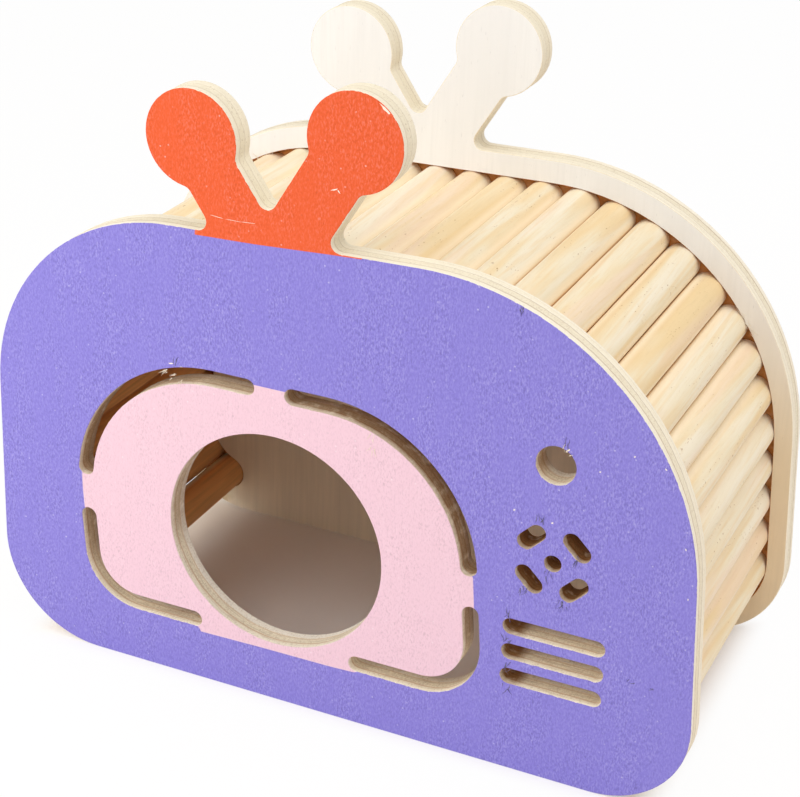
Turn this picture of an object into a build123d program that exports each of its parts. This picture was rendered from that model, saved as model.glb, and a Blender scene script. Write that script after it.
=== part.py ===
from build123d import *
import os
from math import asin, cos, degrees, radians, sin

# Wooden rodent house in the shape of a television set: two plywood panels with a routed
# groove each, and a row of round wooden rods between them. The bottom is open.
# Millimetres. X runs to the right, Y from front to back, Z up.
# The origin is the middle of the footprint, on the table.


# Sizes of the whole house

house_width = 193.7
ply_thickness = 7.0
clear_depth = 78.3
house_depth = clear_depth + 2 * ply_thickness
cutter = 4.4

# Body outline: four straight sides, joined by four arcs

body_right = house_width / 2
body_left = -house_width / 2
body_top = 128.4
top_tilt = 1.6
right_lean = 3.3
left_lean = 1.5
lower_right_radius = 24.0
upper_right_radius = 70.3
upper_left_radius = 53.8
lower_left_radius = 28.0

# Antennae: both legs start at one root inside the body, and a wider cutter rounds the inside
# corners of the outline

antenna_root = (-16.2, 119.6)
antenna_leg_width = 15.3
antenna_bulb_radius = 12.2
right_antenna_length = 42.5
right_antenna_lean = 31.2
left_antenna_length = 36.7
left_antenna_lean = 34.2
outline_cutter = 5.0

# Door and screen

door_x = -14.8
door_z = 47.0
door_diameter = 60.0
screen_right = 40.1
screen_left = -69.2
screen_bottom = 17.8
screen_top = 88.9
screen_right_lean = 4.6
screen_left_lean = -3.8
screen_lower_radius = 13.6
screen_upper_right_radius = 39.0
screen_upper_left_radius = 38.5
top_bridge_left = -20.2
top_bridge_right = -11.9
left_bridge_bottom = 42.9
left_bridge_top = 52.8
right_bridge_bottom = 43.6
right_bridge_top = 52.0
bottom_bridge_left = -36.1
bottom_bridge_right = 6.7

# Knob hole, dial and speaker slots to the right of the screen

knob_x = 58.6
knob_z = 87.2
knob_diameter = 10.0
dial_x = 59.5
dial_z = 61.3
petal_reach = 8.1
petal_length = 8.3
speaker_x = 61.0
speaker_z = 34.1
speaker_length = 26.3
speaker_pitch = 7.1
speaker_count = 3

# Rods and the groove that holds them: its rim is wider under the top by the drop

rod_diameter = 10.0
least_rod_gap = 0.2
first_rod_angle = -48.8
last_rod_angle = 245.6
groove_play = 0.4
groove_width = rod_diameter + groove_play
groove_depth = 3.0
groove_rim = 5.1
groove_drop = 1.2
row_inset = groove_rim + groove_width / 2
rod_length = clear_depth + 2 * groove_depth


# Outline built from sides that are tangent to corner arcs

def arc_centre(side_a, side_b, radius):
    """Centre of the arc that touches two sides, each given as (outward angle, distance)."""
    angle_a, distance_a = side_a
    angle_b, distance_b = side_b
    ax, az = cos(radians(angle_a)), sin(radians(angle_a))
    bx, bz = cos(radians(angle_b)), sin(radians(angle_b))
    reach_a = distance_a - radius
    reach_b = distance_b - radius
    turn = ax * bz - az * bx
    return ((reach_a * bz - reach_b * az) / turn, (ax * reach_b - bx * reach_a) / turn)


def side_beside(corner, radius, angle):
    """Side with the given outward angle that touches the circle round a corner centre."""
    return (angle, corner[0] * cos(radians(angle)) + corner[1] * sin(radians(angle)) + radius)


def four_corners(left, right, bottom, top, tilt, leans, radii):
    """Corners as (centre, radius, first angle, last angle), from lower right round to lower left."""
    lean_right, lean_left = leans
    lower_right, upper_right, upper_left, lower_left = radii
    right_centre = (right - lower_right, bottom + lower_right)
    left_centre = (left + lower_left, bottom + lower_left)
    right_side = side_beside(right_centre, lower_right, lean_right)
    left_side = side_beside(left_centre, lower_left, 180 - lean_left)
    top_side = (90 + tilt, top * cos(radians(tilt)))
    return [
        (right_centre, lower_right, -90, lean_right),
        (arc_centre(right_side, top_side, upper_right), upper_right, lean_right, 90 + tilt),
        (arc_centre(top_side, left_side, upper_left), upper_left, 90 + tilt, 180 - lean_left),
        (left_centre, lower_left, 180 - lean_left, 270),
    ]


def chain(corners, inset=0.0, start_angle=-90, end_angle=270):
    """Arcs and the straight lines between them, moved inwards by the inset."""
    edges = []
    for index, (centre, radius, first, last) in enumerate(corners):
        first = start_angle if index == 0 else first
        last = end_angle if index == len(corners) - 1 else last
        arc = CenterArc(centre, radius - inset, first, last - first)
        if edges:
            edges.append(Line(edges[-1] @ 1, arc @ 0))
        edges.append(arc)
    return edges


def body_shape(top):
    """Corners of the body with its top side at the given height."""
    return four_corners(
        body_left, body_right, 0, top, top_tilt,
        (right_lean, left_lean),
        (lower_right_radius, upper_right_radius, upper_left_radius, lower_left_radius),
    )


body_corners = body_shape(body_top)
row_corners = body_shape(body_top - groove_drop)
screen_corners = four_corners(
    screen_left, screen_right, screen_bottom, screen_top, 0,
    (screen_right_lean, screen_left_lean),
    (screen_lower_radius, screen_upper_right_radius, screen_upper_left_radius, screen_lower_radius),
)


def closed_face(corners, inset=0.0):
    """Filled shape inside a chain of corners."""
    edges = chain(corners, inset)
    edges.append(Line(edges[-1] @ 1, edges[0] @ 0))
    return make_face(Wire(edges))


def antenna(length, lean):
    """Leg with a round bulb, drawn from the root and leaning to the right by an angle."""
    leg = Pos(0, length / 2) * Rectangle(antenna_leg_width, length)
    bulb = Pos(0, length) * Circle(antenna_bulb_radius)
    return Pos(*antenna_root) * Rot(0, 0, -lean) * (leg + bulb)


def panel_outline():
    """Body with both antennae; inside corners keep the radius of the outline cutter."""
    right_antenna = antenna(right_antenna_length, right_antenna_lean)
    left_antenna = antenna(left_antenna_length, -left_antenna_lean)
    sharp = closed_face(body_corners) + right_antenna + left_antenna
    grown = offset(sharp, amount=outline_cutter / 2, kind=Kind.ARC)
    return offset(grown, amount=-outline_cutter / 2, kind=Kind.ARC)


# Cut-outs of the front panel, drawn as seen from the front

def routed(edges, width=cutter):
    """Track that a round cutter leaves along a chain of edges."""
    return make_face(offset(Wire(edges), amount=width / 2).edges())


def upper_slot(corner, side_z, top_x):
    """Slot from side_z on an upper corner arc, then along the top of the screen to top_x."""
    centre, radius = corner[:2]
    rise = degrees(asin((side_z - centre[1]) / radius))
    start = rise if top_x < centre[0] else 180 - rise
    arc = CenterArc(centre, radius, start, 90 - start)
    along_top = Line(arc @ 1, (top_x, (arc @ 1).Y))
    return routed([arc, along_top])


def lower_slot(corner, bottom_x, side_z):
    """Slot from bottom_x round a lower corner of the screen and up its side to side_z."""
    centre, radius, first, last = corner
    below, beside = (first, last) if bottom_x < centre[0] else (last, first)
    arc = CenterArc(centre, radius, below, beside - below)
    along_bottom = Line((bottom_x, (arc @ 0).Y), arc @ 0)
    up = arc % 1
    up_side = Line(arc @ 1, arc @ 1 + up * ((side_z - (arc @ 1).Y) / up.Y))
    return routed([along_bottom, arc, up_side])


def screen_slots():
    """Four slots that follow the edge of the screen and leave a bridge on each side."""
    lower_right, upper_right, upper_left, lower_left = screen_corners
    half = cutter / 2
    return [
        lower_slot(lower_right, bottom_bridge_right + half, right_bridge_bottom - half),
        upper_slot(upper_right, right_bridge_top + half, top_bridge_right + half),
        upper_slot(upper_left, left_bridge_top + half, top_bridge_left - half),
        lower_slot(lower_left, bottom_bridge_left - half, left_bridge_bottom - half),
    ]


def dial():
    """Dot with four short slots round it, each set across its diagonal."""
    petal = Rot(0, 0, 90) * SlotOverall(petal_length, cutter)
    petals = [Rot(0, 0, angle) * Pos(petal_reach, 0) * petal for angle in (45, 135, 225, 315)]
    return [Pos(dial_x, dial_z) * shape for shape in [Circle(cutter / 2)] + petals]


def speaker():
    """Stack of level slots."""
    slot = SlotOverall(speaker_length, cutter)
    middle = (speaker_count - 1) / 2
    return [
        Pos(speaker_x, speaker_z + (index - middle) * speaker_pitch) * slot
        for index in range(speaker_count)
    ]


def front_openings():
    """Every shape that goes right through the front panel."""
    door = Pos(door_x, door_z) * Circle(door_diameter / 2)
    knob = Pos(knob_x, knob_z) * Circle(knob_diameter / 2)
    return [door, knob] + screen_slots() + dial() + speaker()


# Row of rods: it starts and ends at given angles round the lower corners

groove_line = chain(row_corners, row_inset, first_rod_angle, last_rod_angle)
row_length = Wire(groove_line).length
rod_count = int(row_length / (rod_diameter + least_rod_gap)) + 1


def step_along(row, place, pitch):
    """Next place along the row that lies one pitch away, measured straight across."""
    here = row.position_at(place, PositionMode.LENGTH)
    there = place + pitch
    for _ in range(8):
        reached = (row.position_at(there, PositionMode.LENGTH) - here).length
        there += pitch - reached
    return there


def even_places(row):
    """Places one pitch apart, with the pitch that puts the last one at the end of the row."""
    pitch = row_length / (rod_count - 1)
    for _ in range(6):
        places = [0.0]
        while len(places) < rod_count:
            places.append(step_along(row, places[-1], pitch))
        pitch *= row_length / places[-1]
    return places


longer_row = Wire(chain(row_corners, row_inset, first_rod_angle))
rod_centres = [longer_row.position_at(place, PositionMode.LENGTH) for place in even_places(longer_row)]


# Solids

def standing(face, front_y, thickness):
    """Solid with the given front view, reaching back from front_y."""
    view = Plane(origin=(0, front_y, 0), x_dir=(1, 0, 0), z_dir=(0, -1, 0))
    return extrude(view * face, amount=-thickness)


front_face_y = -house_depth / 2
front_inner_y = front_face_y + ply_thickness
rear_inner_y = front_inner_y + clear_depth


def front_panel():
    """Painted panel with its openings and the groove in its inner face."""
    panel = standing(panel_outline(), front_face_y, ply_thickness)
    for opening in front_openings():
        panel -= standing(opening, front_face_y, ply_thickness)
    groove = routed(groove_line, groove_width)
    return panel - standing(groove, front_inner_y - groove_depth, groove_depth)


def rear_panel():
    """Closed panel with the same outline and the groove in its inner face."""
    panel = standing(panel_outline(), rear_inner_y, ply_thickness)
    groove = routed(groove_line, groove_width)
    return panel - standing(groove, rear_inner_y, groove_depth)


def rod(centre):
    """Round rod between both groove floors."""
    section = Pos(centre.X, centre.Y) * Circle(rod_diameter / 2)
    return standing(section, front_inner_y - groove_depth, rod_length)


# Files, one for each piece

pieces = {"front_panel": front_panel(), "rear_panel": rear_panel()}
for number, centre in enumerate(rod_centres, start=1):
    pieces[f"rod_{number:02d}"] = rod(centre)

os.makedirs("parts", exist_ok=True)
for name, piece in pieces.items():
    solid = piece.solid()
    solid.label = name
    export_step(solid, f"parts/{name}.step")
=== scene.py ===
import math
import random

import bmesh
import bpy
import numpy as np
from bpy.props import FloatProperty, FloatVectorProperty, IntProperty, PointerProperty
from mathutils import Matrix, Vector, noise
from mathutils.geometry import delaunay_2d_cdt


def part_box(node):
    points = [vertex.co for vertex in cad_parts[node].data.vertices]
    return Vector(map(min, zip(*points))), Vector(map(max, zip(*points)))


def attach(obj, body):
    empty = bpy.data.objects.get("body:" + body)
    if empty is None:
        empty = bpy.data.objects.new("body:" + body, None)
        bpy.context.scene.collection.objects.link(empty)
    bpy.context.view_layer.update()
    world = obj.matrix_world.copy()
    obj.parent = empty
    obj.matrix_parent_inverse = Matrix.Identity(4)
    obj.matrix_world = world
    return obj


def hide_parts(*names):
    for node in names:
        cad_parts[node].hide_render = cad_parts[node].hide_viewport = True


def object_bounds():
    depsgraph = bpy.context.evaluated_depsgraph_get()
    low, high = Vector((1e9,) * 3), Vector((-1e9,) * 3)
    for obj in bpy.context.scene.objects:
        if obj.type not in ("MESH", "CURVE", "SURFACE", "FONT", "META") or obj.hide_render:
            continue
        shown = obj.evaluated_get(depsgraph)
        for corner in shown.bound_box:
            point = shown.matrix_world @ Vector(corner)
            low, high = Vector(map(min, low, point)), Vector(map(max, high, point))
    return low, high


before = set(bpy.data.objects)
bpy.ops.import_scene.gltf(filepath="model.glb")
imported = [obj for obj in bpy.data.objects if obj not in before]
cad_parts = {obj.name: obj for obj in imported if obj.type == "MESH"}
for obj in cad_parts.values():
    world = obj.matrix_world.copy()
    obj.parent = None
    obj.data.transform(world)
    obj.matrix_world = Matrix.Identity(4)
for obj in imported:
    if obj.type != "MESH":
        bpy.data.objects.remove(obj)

bl_info = {
    "name": "Wooden rodent house",
    "version": (1, 0, 0),
    "blender": (4, 5, 0),
    "location": "3D View > Sidebar > Rodent house",
    "description": "Plywood, paint and rods of a wooden rodent house, built round its CAD frame",
    "category": "Object",
}

# Places are worked out in millimetres of the row frame, seen from the front as (x, z)

MM = 0.001
CAD_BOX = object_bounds()
FRONT_FACE, FRONT_INNER_FACE = [corner.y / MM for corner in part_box("front_panel")]
REAR_INNER_FACE, REAR_FACE = [corner.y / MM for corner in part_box("rear_panel")]
ROD_NODES = sorted(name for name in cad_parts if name.startswith("rod_"))
GROOVE_DEPTH = FRONT_INNER_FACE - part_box(ROD_NODES[0])[0].y / MM


# Sizes and colours that a user may change

def colour(name, description, default):
    """Colour property."""
    return FloatVectorProperty(
        name=name, description=description, default=default, subtype="COLOR", min=0.0, max=1.0
    )


def length(name, description, default_mm):
    """Length property, given in millimetres and kept in metres."""
    return FloatProperty(
        name=name, description=description, default=default_mm * MM,
        subtype="DISTANCE", unit="LENGTH", min=0.0, precision=5,
    )


def power(name, description, watts):
    """Power property of a lamp."""
    return FloatProperty(
        name=name, description=description, default=watts, subtype="POWER", unit="POWER"
    )


def turn_of(name, description, degrees):
    """Angle property, given in degrees."""
    return FloatProperty(
        name=name, description=description, default=math.radians(degrees),
        subtype="ANGLE", unit="ROTATION",
    )


class RodentHousePaint(bpy.types.PropertyGroup):
    """Paints on the front face"""

    cabinet: colour("Cabinet", "Matte paint on the front of the cabinet", (0.252, 0.217, 0.637))
    screen: colour("Screen", "Matte paint inside the screen slots", (0.815, 0.562, 0.634))
    antenna: colour("Antennae", "Matte paint on both antennae", (0.775, 0.116, 0.035))
    peel_size: length("Texture size", "Width of one dimple of the paint", 0.42)
    speck_size: length("Speck size", "Width of the palest dust specks", 0.34)


class RodentHousePlywood(bpy.types.PropertyGroup):
    """Wood and edges of both panels"""

    veneer: colour("Veneer", "Bare inner and outer faces", (0.872, 0.86, 0.835))
    # Painted warm shade: veneer colour laid on the inner face inside the arch of rods
    arch_shade_veneer: colour("Sheltered veneer", "Warmer veneer inside the arch", (0.92, 0.78, 0.60))
    edge: colour("Edge plies", "Outer plies seen on a cut edge", (0.89, 0.79, 0.60))
    core: colour("Core ply", "End grain of the middle ply", (0.80, 0.72, 0.55))
    fresh: colour("Fresh cut", "Pale wood on the walls of the cut-outs", (0.99, 0.87, 0.67))
    glue: colour("Glue line", "Dark line between two plies", (0.40, 0.27, 0.16))
    # Browning colour, laid both as burn and as painted shade inside the cut-outs
    scorch_and_shade: colour("Scorch", "What the cutter's heat leaves of the wood's colour", (0.40, 0.235, 0.12))
    # Partly burn and partly painted shade in the recess of the groove
    groove: colour("Groove", "Brown wood inside the rod grooves", (0.60, 0.25, 0.07))
    rounding: length("Edge rounding", "Radius that the sander leaves on each edge", 0.2)
    relief: length("Ply relief", "Depth to which the core is worn back on a cut edge", 0.07)
    edge_step: length("Edge step", "Spacing of the points along each edge", 0.6)


class RodentHouseRods(bpy.types.PropertyGroup):
    """Wood and shape of the rods"""

    pale: colour("Pale wood", "Lightest wood of the rods", (0.86, 0.745, 0.54))
    tan: colour("Tan wood", "Darker stains along the rods", (0.84, 0.63, 0.35))
    # Painted light: pale wood laid beside the line where two rods meet, against the shade there
    flank_painted_light: colour("Flank", "Warm pale wood beside the line where two rods meet", (0.98, 0.86, 0.66))
    blush: colour("Blush", "Pinkish stains along the rods", (0.89, 0.69, 0.52))
    pore: colour("Pore", "Short brown dashes in the wood", (0.40, 0.20, 0.07))
    # Painted warm shade on the side of each rod that faces the inside of the house
    inner: colour("Inner side", "Warmer side of the rods inside the house", (0.88, 0.455, 0.175))
    # Painted shade on the line where two rods meet
    contact: colour("Contact line", "Warmer wood where two rods meet", (0.84, 0.55, 0.29))
    waviness: length("Waviness", "How far a rod departs from a true cylinder", 0.07)
    end_rounding: length("End rounding", "Radius at the ends of each rod", 0.4)
    sides: IntProperty(name="Sides", description="Points round each rod", default=44, min=12)


class RodentHouseWear(bpy.types.PropertyGroup):
    """Fibres that the cutter raised"""

    fibre_width: length("Fibre width", "Width of a raised wood fibre at its root", 0.24)
    fibre_length: length("Fibre length", "Length of a common raised fibre", 1.7)
    pale_fibre: colour("Bare fibre", "Fibre torn from bare wood", (0.90, 0.78, 0.60))
    painted_fibre: colour("Painted fibre", "Fibre raised under the cabinet paint", (0.055, 0.04, 0.15))


class RodentHouseStage(bpy.types.PropertyGroup):
    """Floor, light and camera"""

    floor: colour("Floor", "Pale floor under the house", (0.99, 0.93, 0.90))
    sky: FloatProperty(name="Sky", description="Strength of the even light all round", default=0.68)
    key: power("Key lamp", "Soft lamp near the upper left front", 0.58)
    top: power("Top lamp", "Large soft lamp overhead", 3.3)
    high: power("High lamp", "Soft lamp high in front, which lights the floor inside", 1.85)
    camera_place: FloatVectorProperty(
        name="Camera place", description="Where the camera stands", subtype="TRANSLATION",
        unit="LENGTH", default=(0.18929, -0.42776, 0.29879),
    )
    camera_azimuth: turn_of("Camera azimuth", "Turn of the camera round the house", 24.065)
    camera_elevation: turn_of("Camera elevation", "How steeply the camera looks down", 25.959)
    camera_roll: turn_of("Camera roll", "Tilt of the camera about its own axis", 1.795)
    camera_lens: FloatProperty(
        name="Focal length", description="Focal length on a sensor 36 mm wide",
        subtype="DISTANCE_CAMERA", unit="CAMERA", default=88.9,
    )


# Node recipes

class Recipe:
    """Adds the nodes of one material and links them as they are made."""

    def __init__(self, name, roughness, specular=0.2):
        self.material = bpy.data.materials.new(name)
        self.material.use_nodes = True
        self.tree = self.material.node_tree
        self.shader = self.tree.nodes["Principled BSDF"]
        self.shader.inputs["Roughness"].default_value = roughness
        self.shader.inputs["Specular IOR Level"].default_value = specular

    def add(self, kind, **settings):
        node = self.tree.nodes.new("ShaderNode" + kind)
        for name, value in settings.items():
            setattr(node, name, value)
        return node

    def feed(self, socket, value):
        if isinstance(value, bpy.types.NodeSocket):
            self.tree.links.new(value, socket)
        else:
            socket.default_value = value

    def millimetres(self):
        """Place in the row frame, in millimetres."""
        place = self.add("TexCoord").outputs["Object"]
        return self.stretch(place, 1 / MM, 1 / MM, 1 / MM)

    def attribute(self, name, output="Fac"):
        """Value that the mesh code gave to each vertex."""
        return self.add("Attribute", attribute_name=name).outputs[output]

    def parts(self, vector):
        """X, Y and Z of a vector."""
        node = self.add("SeparateXYZ")
        self.feed(node.inputs[0], vector)
        return node.outputs

    def stretch(self, vector, x, y, z):
        node = self.add("VectorMath", operation="MULTIPLY")
        self.feed(node.inputs[0], vector)
        node.inputs[1].default_value = (x, y, z)
        return node.outputs[0]

    def upright(self, vector, share):
        """Vector shortened in height: the smaller the share, the taller a pattern's marks."""
        return self.stretch(vector, 1.0, 1.0, share)

    def noise(self, vector, per_mm, detail=2.0, roughness=0.5, distortion=0.0):
        node = self.add("TexNoise")
        self.feed(node.inputs["Vector"], vector)
        node.inputs["Scale"].default_value = per_mm
        node.inputs["Detail"].default_value = detail
        node.inputs["Roughness"].default_value = roughness
        node.inputs["Distortion"].default_value = distortion
        return node.outputs[0]

    def cells(self, vector, per_mm):
        """Distance to the nearest of many scattered points, and a random value for each."""
        node = self.add("TexVoronoi")
        self.feed(node.inputs["Vector"], vector)
        node.inputs["Scale"].default_value = per_mm
        return node.outputs["Distance"], node.outputs["Color"]

    def math(self, operation, first, second=0.0):
        node = self.add("Math", operation=operation)
        self.feed(node.inputs[0], first)
        self.feed(node.inputs[1], second)
        return node.outputs[0]

    def times(self, first, *others):
        """Product of several values."""
        for other in others:
            first = self.math("MULTIPLY", first, other)
        return first

    def band(self, value, low, high):
        """Rises from 0 at low to 1 at high, or falls where low is the larger."""
        node = self.add("MapRange", interpolation_type="SMOOTHSTEP")
        self.feed(node.inputs["Value"], value)
        node.inputs["From Min"].default_value = low
        node.inputs["From Max"].default_value = high
        return node.outputs[0]

    def mix(self, factor, first, second):
        node = self.add("Mix", data_type="RGBA")
        self.feed(node.inputs[0], factor)
        self.feed(node.inputs[6], first)
        self.feed(node.inputs[7], second)
        return node.outputs[2]

    def lay(self, base, colour, *masks):
        """Another colour laid over the base, as strongly as the product of the masks."""
        return self.mix(self.times(*masks), base, colour)

    def ramp(self, factor, stops):
        """Colours along a value, given as (position, colour)."""
        node = self.add("ValToRGB")
        self.feed(node.inputs[0], factor)
        elements = node.color_ramp.elements
        while len(elements) < len(stops):
            elements.new(1.0)
        for element, (position, rgb) in zip(elements, stops):
            element.position = position
            element.color = rgb
        return node.outputs[0]

    def bump(self, height, depth_mm, below=None):
        node = self.add("Bump")
        node.inputs["Distance"].default_value = depth_mm * MM
        self.feed(node.inputs["Height"], height)
        if below is not None:
            self.feed(node.inputs["Normal"], below)
        return node.outputs[0]

    def finish(self, base, normal=None, roughness=None):
        self.feed(self.shader.inputs["Base Color"], base)
        if normal is not None:
            self.feed(self.shader.inputs["Normal"], normal)
        if roughness is not None:
            self.feed(self.shader.inputs["Roughness"], roughness)
        return self.material


def shade(rgb, factor=1.0):
    """Colour made darker or lighter, with alpha."""
    return tuple(min(1.0, channel * factor) for channel in rgb) + (1.0,)


def toward(rgb, other, share):
    """Colour moved part of the way to another, with alpha."""
    return tuple(a + (b - a) * share for a, b in zip(rgb, other)) + (1.0,)


# Materials

WHITE = (1.0, 1.0, 1.0)
PAINT_DEPTHS = {"cabinet": 1.0, "screen": 0.7, "antenna": 0.6}
# Painted shade: colour factor laid on the inner veneer towards the bottom
LOW_VENEER_SHADE = (0.82, 0.655, 0.43)
OUTER_VENEER_TINT = (1.03, 0.95, 0.83)
# Heights in millimetres where the painted shade on the inner veneer begins and where it is deepest
VENEER_SHADE_BELOW, VENEER_SHADE_DEEPEST_AT = 124.0, 52.0
ANTENNA_FOOT = 124.0
ANTENNA_BLEND = 8.0
GLUE_LINES = ((0.30, 0.6), (0.64, 0.35))
# Strength of the browning on routed walls, partly burn and partly painted shade
ROUTED_BURN_AND_SHADE = 0.90


def matte_paint(area, paint):
    """Matte paint rolled over veneer: very fine pale and dark dimples, and dust specks."""
    rgb = getattr(paint, area)
    recipe = Recipe(f"{area}_paint", roughness=0.85)
    place = recipe.millimetres()
    dimples = recipe.noise(
        recipe.upright(place, 0.45), MM / paint.peel_size, detail=1.0, roughness=0.7, distortion=0.4
    )
    calm = recipe.noise(recipe.upright(place, 0.4), 0.16, detail=1.0)
    strength = recipe.math("ADD", recipe.times(recipe.band(calm, 0.36, 0.62), 0.5), 0.5)
    grain = recipe.noise(recipe.upright(place, 0.05), 0.8)
    tone = recipe.math("SUBTRACT", dimples, 0.5)
    tone = recipe.times(tone, recipe.times(strength, PAINT_DEPTHS[area]))
    tone = recipe.math("ADD", tone, recipe.times(grain, 0.08))
    base = recipe.ramp(
        recipe.math("ADD", tone, 0.46),
        [(0.20, shade(rgb, 0.70)), (0.50, shade(rgb)), (0.80, toward(rgb, WHITE, 0.16))],
    )
    distance, pick = recipe.cells(place, 0.8)
    speck = paint.speck_size / MM
    near = recipe.band(distance, 0.8 * speck, 0.3 * speck)
    base = recipe.lay(base, toward(rgb, WHITE, 0.9), near, recipe.band(pick, 0.80, 0.97), 0.35)
    base = recipe.lay(base, shade(rgb, 0.45), near, recipe.band(pick, 0.22, 0.08), 0.20)
    normal = recipe.bump(grain, 0.04)
    normal = recipe.bump(dimples, 0.004, normal)
    rough = recipe.ramp(dimples, [(0.3, shade(WHITE, 0.95)), (0.7, shade(WHITE, 0.75))])
    return recipe.finish(base, normal, rough)


def bare_veneer(plywood):
    """Very pale face veneer with faint upright grain and few pores, with painted shade: darker and warmer
    lower down on the inner face, and warm inside the arch of rods.
    """
    rgb = plywood.veneer
    recipe = Recipe("pale_veneer", roughness=0.75)
    place = recipe.millimetres()
    grain = recipe.noise(
        recipe.upright(place, 0.04), 0.9, detail=3.0, roughness=0.6, distortion=0.3
    )
    bands = recipe.noise(recipe.upright(place, 0.2), 0.07, distortion=0.8)
    pores = recipe.noise(recipe.upright(place, 0.15), 2.6, detail=1.0)
    base = recipe.ramp(
        grain, [(0.3, shade(rgb, 0.965)), (0.52, shade(rgb)), (0.75, toward(rgb, WHITE, 0.10))]
    )
    base = recipe.lay(base, shade(rgb, 0.955), recipe.band(bands, 0.62, 0.4), 0.6)
    base = recipe.lay(base, shade(rgb, 0.74), recipe.band(pores, 0.72, 0.80), 0.5)

    height = recipe.parts(place)["Z"]
    share = recipe.attribute("ply_share")
    # Painted shade: the inner face turns darker and warmer lower down
    low = recipe.times(recipe.band(height, VENEER_SHADE_BELOW, VENEER_SHADE_DEEPEST_AT), 0.9)
    on_inside = recipe.band(share, 0.6, 0.9)
    on_outside = recipe.band(share, 0.4, 0.1)
    base = recipe.lay(base, recipe.stretch(base, *LOW_VENEER_SHADE), low, on_inside)
    base = recipe.lay(base, recipe.stretch(base, *OUTER_VENEER_TINT), on_outside)
    # Painted warm shade on the inner face inside the arch of rods
    painted_warm_shade = recipe.ramp(
        recipe.math("ADD", recipe.times(grain, 0.5), recipe.times(bands, 0.5)),
        [(0.36, shade(plywood.arch_shade_veneer, 0.93)), (0.64, shade(plywood.arch_shade_veneer, 1.05))],
    )
    base = recipe.lay(base, painted_warm_shade, recipe.attribute("shelter"))
    normal = recipe.bump(grain, 0.05)
    normal = recipe.bump(pores, 0.03, normal)
    return recipe.finish(base, normal)


def ply_edge(name, plywood, burn):
    """Cut edge: long-grain plies on both sides of an end-grain core, browned by burn and by painted shade
    on the routed walls.
    """
    recipe = Recipe(name, roughness=0.8)
    place = recipe.millimetres()
    share = recipe.attribute("ply_share")
    wander = recipe.math("SUBTRACT", recipe.noise(place, 0.16), 0.5)
    share = recipe.math("ADD", share, recipe.times(wander, 0.09))
    mottle = 0.75 if burn else 0.25

    edge, core, glue = plywood.edge, plywood.core, plywood.glue
    base = recipe.ramp(
        share,
        [
            (0.00, toward(edge, WHITE, 0.30)),
            (0.24, toward(edge, WHITE, 0.15)),
            (0.295, toward(edge, glue, 0.75)),
            (0.325, toward(core, edge, 0.40)),
            (0.59, toward(core, edge, 0.55)),
            (0.625, toward(core, glue, 0.50)),
            (0.65, toward(edge, WHITE, 0.20)),
            (0.70, toward(edge, WHITE, 0.12)),
            (0.85, toward(edge, WHITE, 0.08)),
            (0.87, toward(edge, glue, 0.16)),
            (0.89, toward(edge, WHITE, 0.20)),
            (1.00, toward(edge, WHITE, 0.15)),
        ],
    )
    in_core = recipe.times(recipe.band(share, 0.29, 0.34), recipe.band(share, 0.64, 0.59))
    pores = recipe.noise(place, 1.9, roughness=0.7)
    streaks = recipe.noise(recipe.stretch(place, 0.12, 2.2, 0.12), 1.0, detail=3.0, roughness=0.6)
    fuzz = recipe.noise(recipe.stretch(place, 1.0, 0.5, 1.0), 2.4, roughness=0.6)
    base = recipe.lay(base, shade(glue), recipe.band(pores, 0.54, 0.66), in_core, mottle)
    base = recipe.lay(base, toward(edge, WHITE, 0.3), recipe.band(pores, 0.46, 0.36), in_core, mottle)
    base = recipe.lay(base, toward(edge, glue, 0.4), recipe.band(streaks, 0.5, 0.75), 0.45)
    base = recipe.lay(base, toward(edge, glue, 0.55), recipe.band(fuzz, 0.50, 0.72), mottle)

    height = recipe.parts(place)["Z"]
    on_antenna = recipe.band(height, ANTENNA_FOOT, ANTENNA_FOOT + ANTENNA_BLEND)
    base = recipe.lay(base, toward(edge, core, 0.9), on_antenna, 0.5)
    base = recipe.lay(base, toward(glue, WHITE, 0.05), recipe.band(pores, 0.62, 0.70), on_antenna, 0.5)
    if burn:
        base = burnt_and_shaded_edge(recipe, base, plywood, burn, share, streaks, fuzz)
    normal = recipe.bump(streaks, 0.10)
    normal = recipe.bump(pores, 0.12, normal)
    return recipe.finish(base, normal)


def burnt_and_shaded_edge(recipe, base, plywood, burn, share, streaks, fuzz):
    """Fresher wood, sharper lines and browning on the walls that a cutter left. The browning is partly burn
    and partly painted shade, laid by place and stronger deeper into the wall.
    """
    edge, glue, fresh = plywood.edge, plywood.glue, plywood.fresh
    base = recipe.lay(base, shade(fresh), 0.45)
    base = recipe.lay(base, toward(edge, glue, 0.55), recipe.band(streaks, 0.46, 0.66), 0.55)
    base = recipe.lay(base, toward(fresh, WHITE, 0.3), recipe.band(share, 0.20, 0.12), 0.55)
    base = recipe.lay(base, toward(fresh, WHITE, 0.6), recipe.band(share, 0.66, 0.72), 0.6)
    base = recipe.lay(base, toward(edge, glue, 0.45), recipe.band(fuzz, 0.50, 0.66), 0.4)
    for middle, strength in GLUE_LINES:
        rising = recipe.band(share, middle - 0.04, middle - 0.01)
        falling = recipe.band(share, middle + 0.04, middle + 0.01)
        base = recipe.lay(base, toward(plywood.groove, edge, 0.3), rising, falling, strength)
    # Browning, partly burn and partly painted shade, stronger deeper into the wall
    patches = recipe.noise(recipe.millimetres(), 0.35)
    burn_and_shade_amount = recipe.times(recipe.attribute("burn"), burn, recipe.band(patches, 0.15, 0.50))
    deeper_in_shade = recipe.math("ADD", recipe.times(recipe.band(share, 0.12, 0.34), 0.5), 0.5)
    return recipe.lay(base, recipe.stretch(base, *plywood.scorch_and_shade), burn_and_shade_amount, deeper_in_shade)


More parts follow.
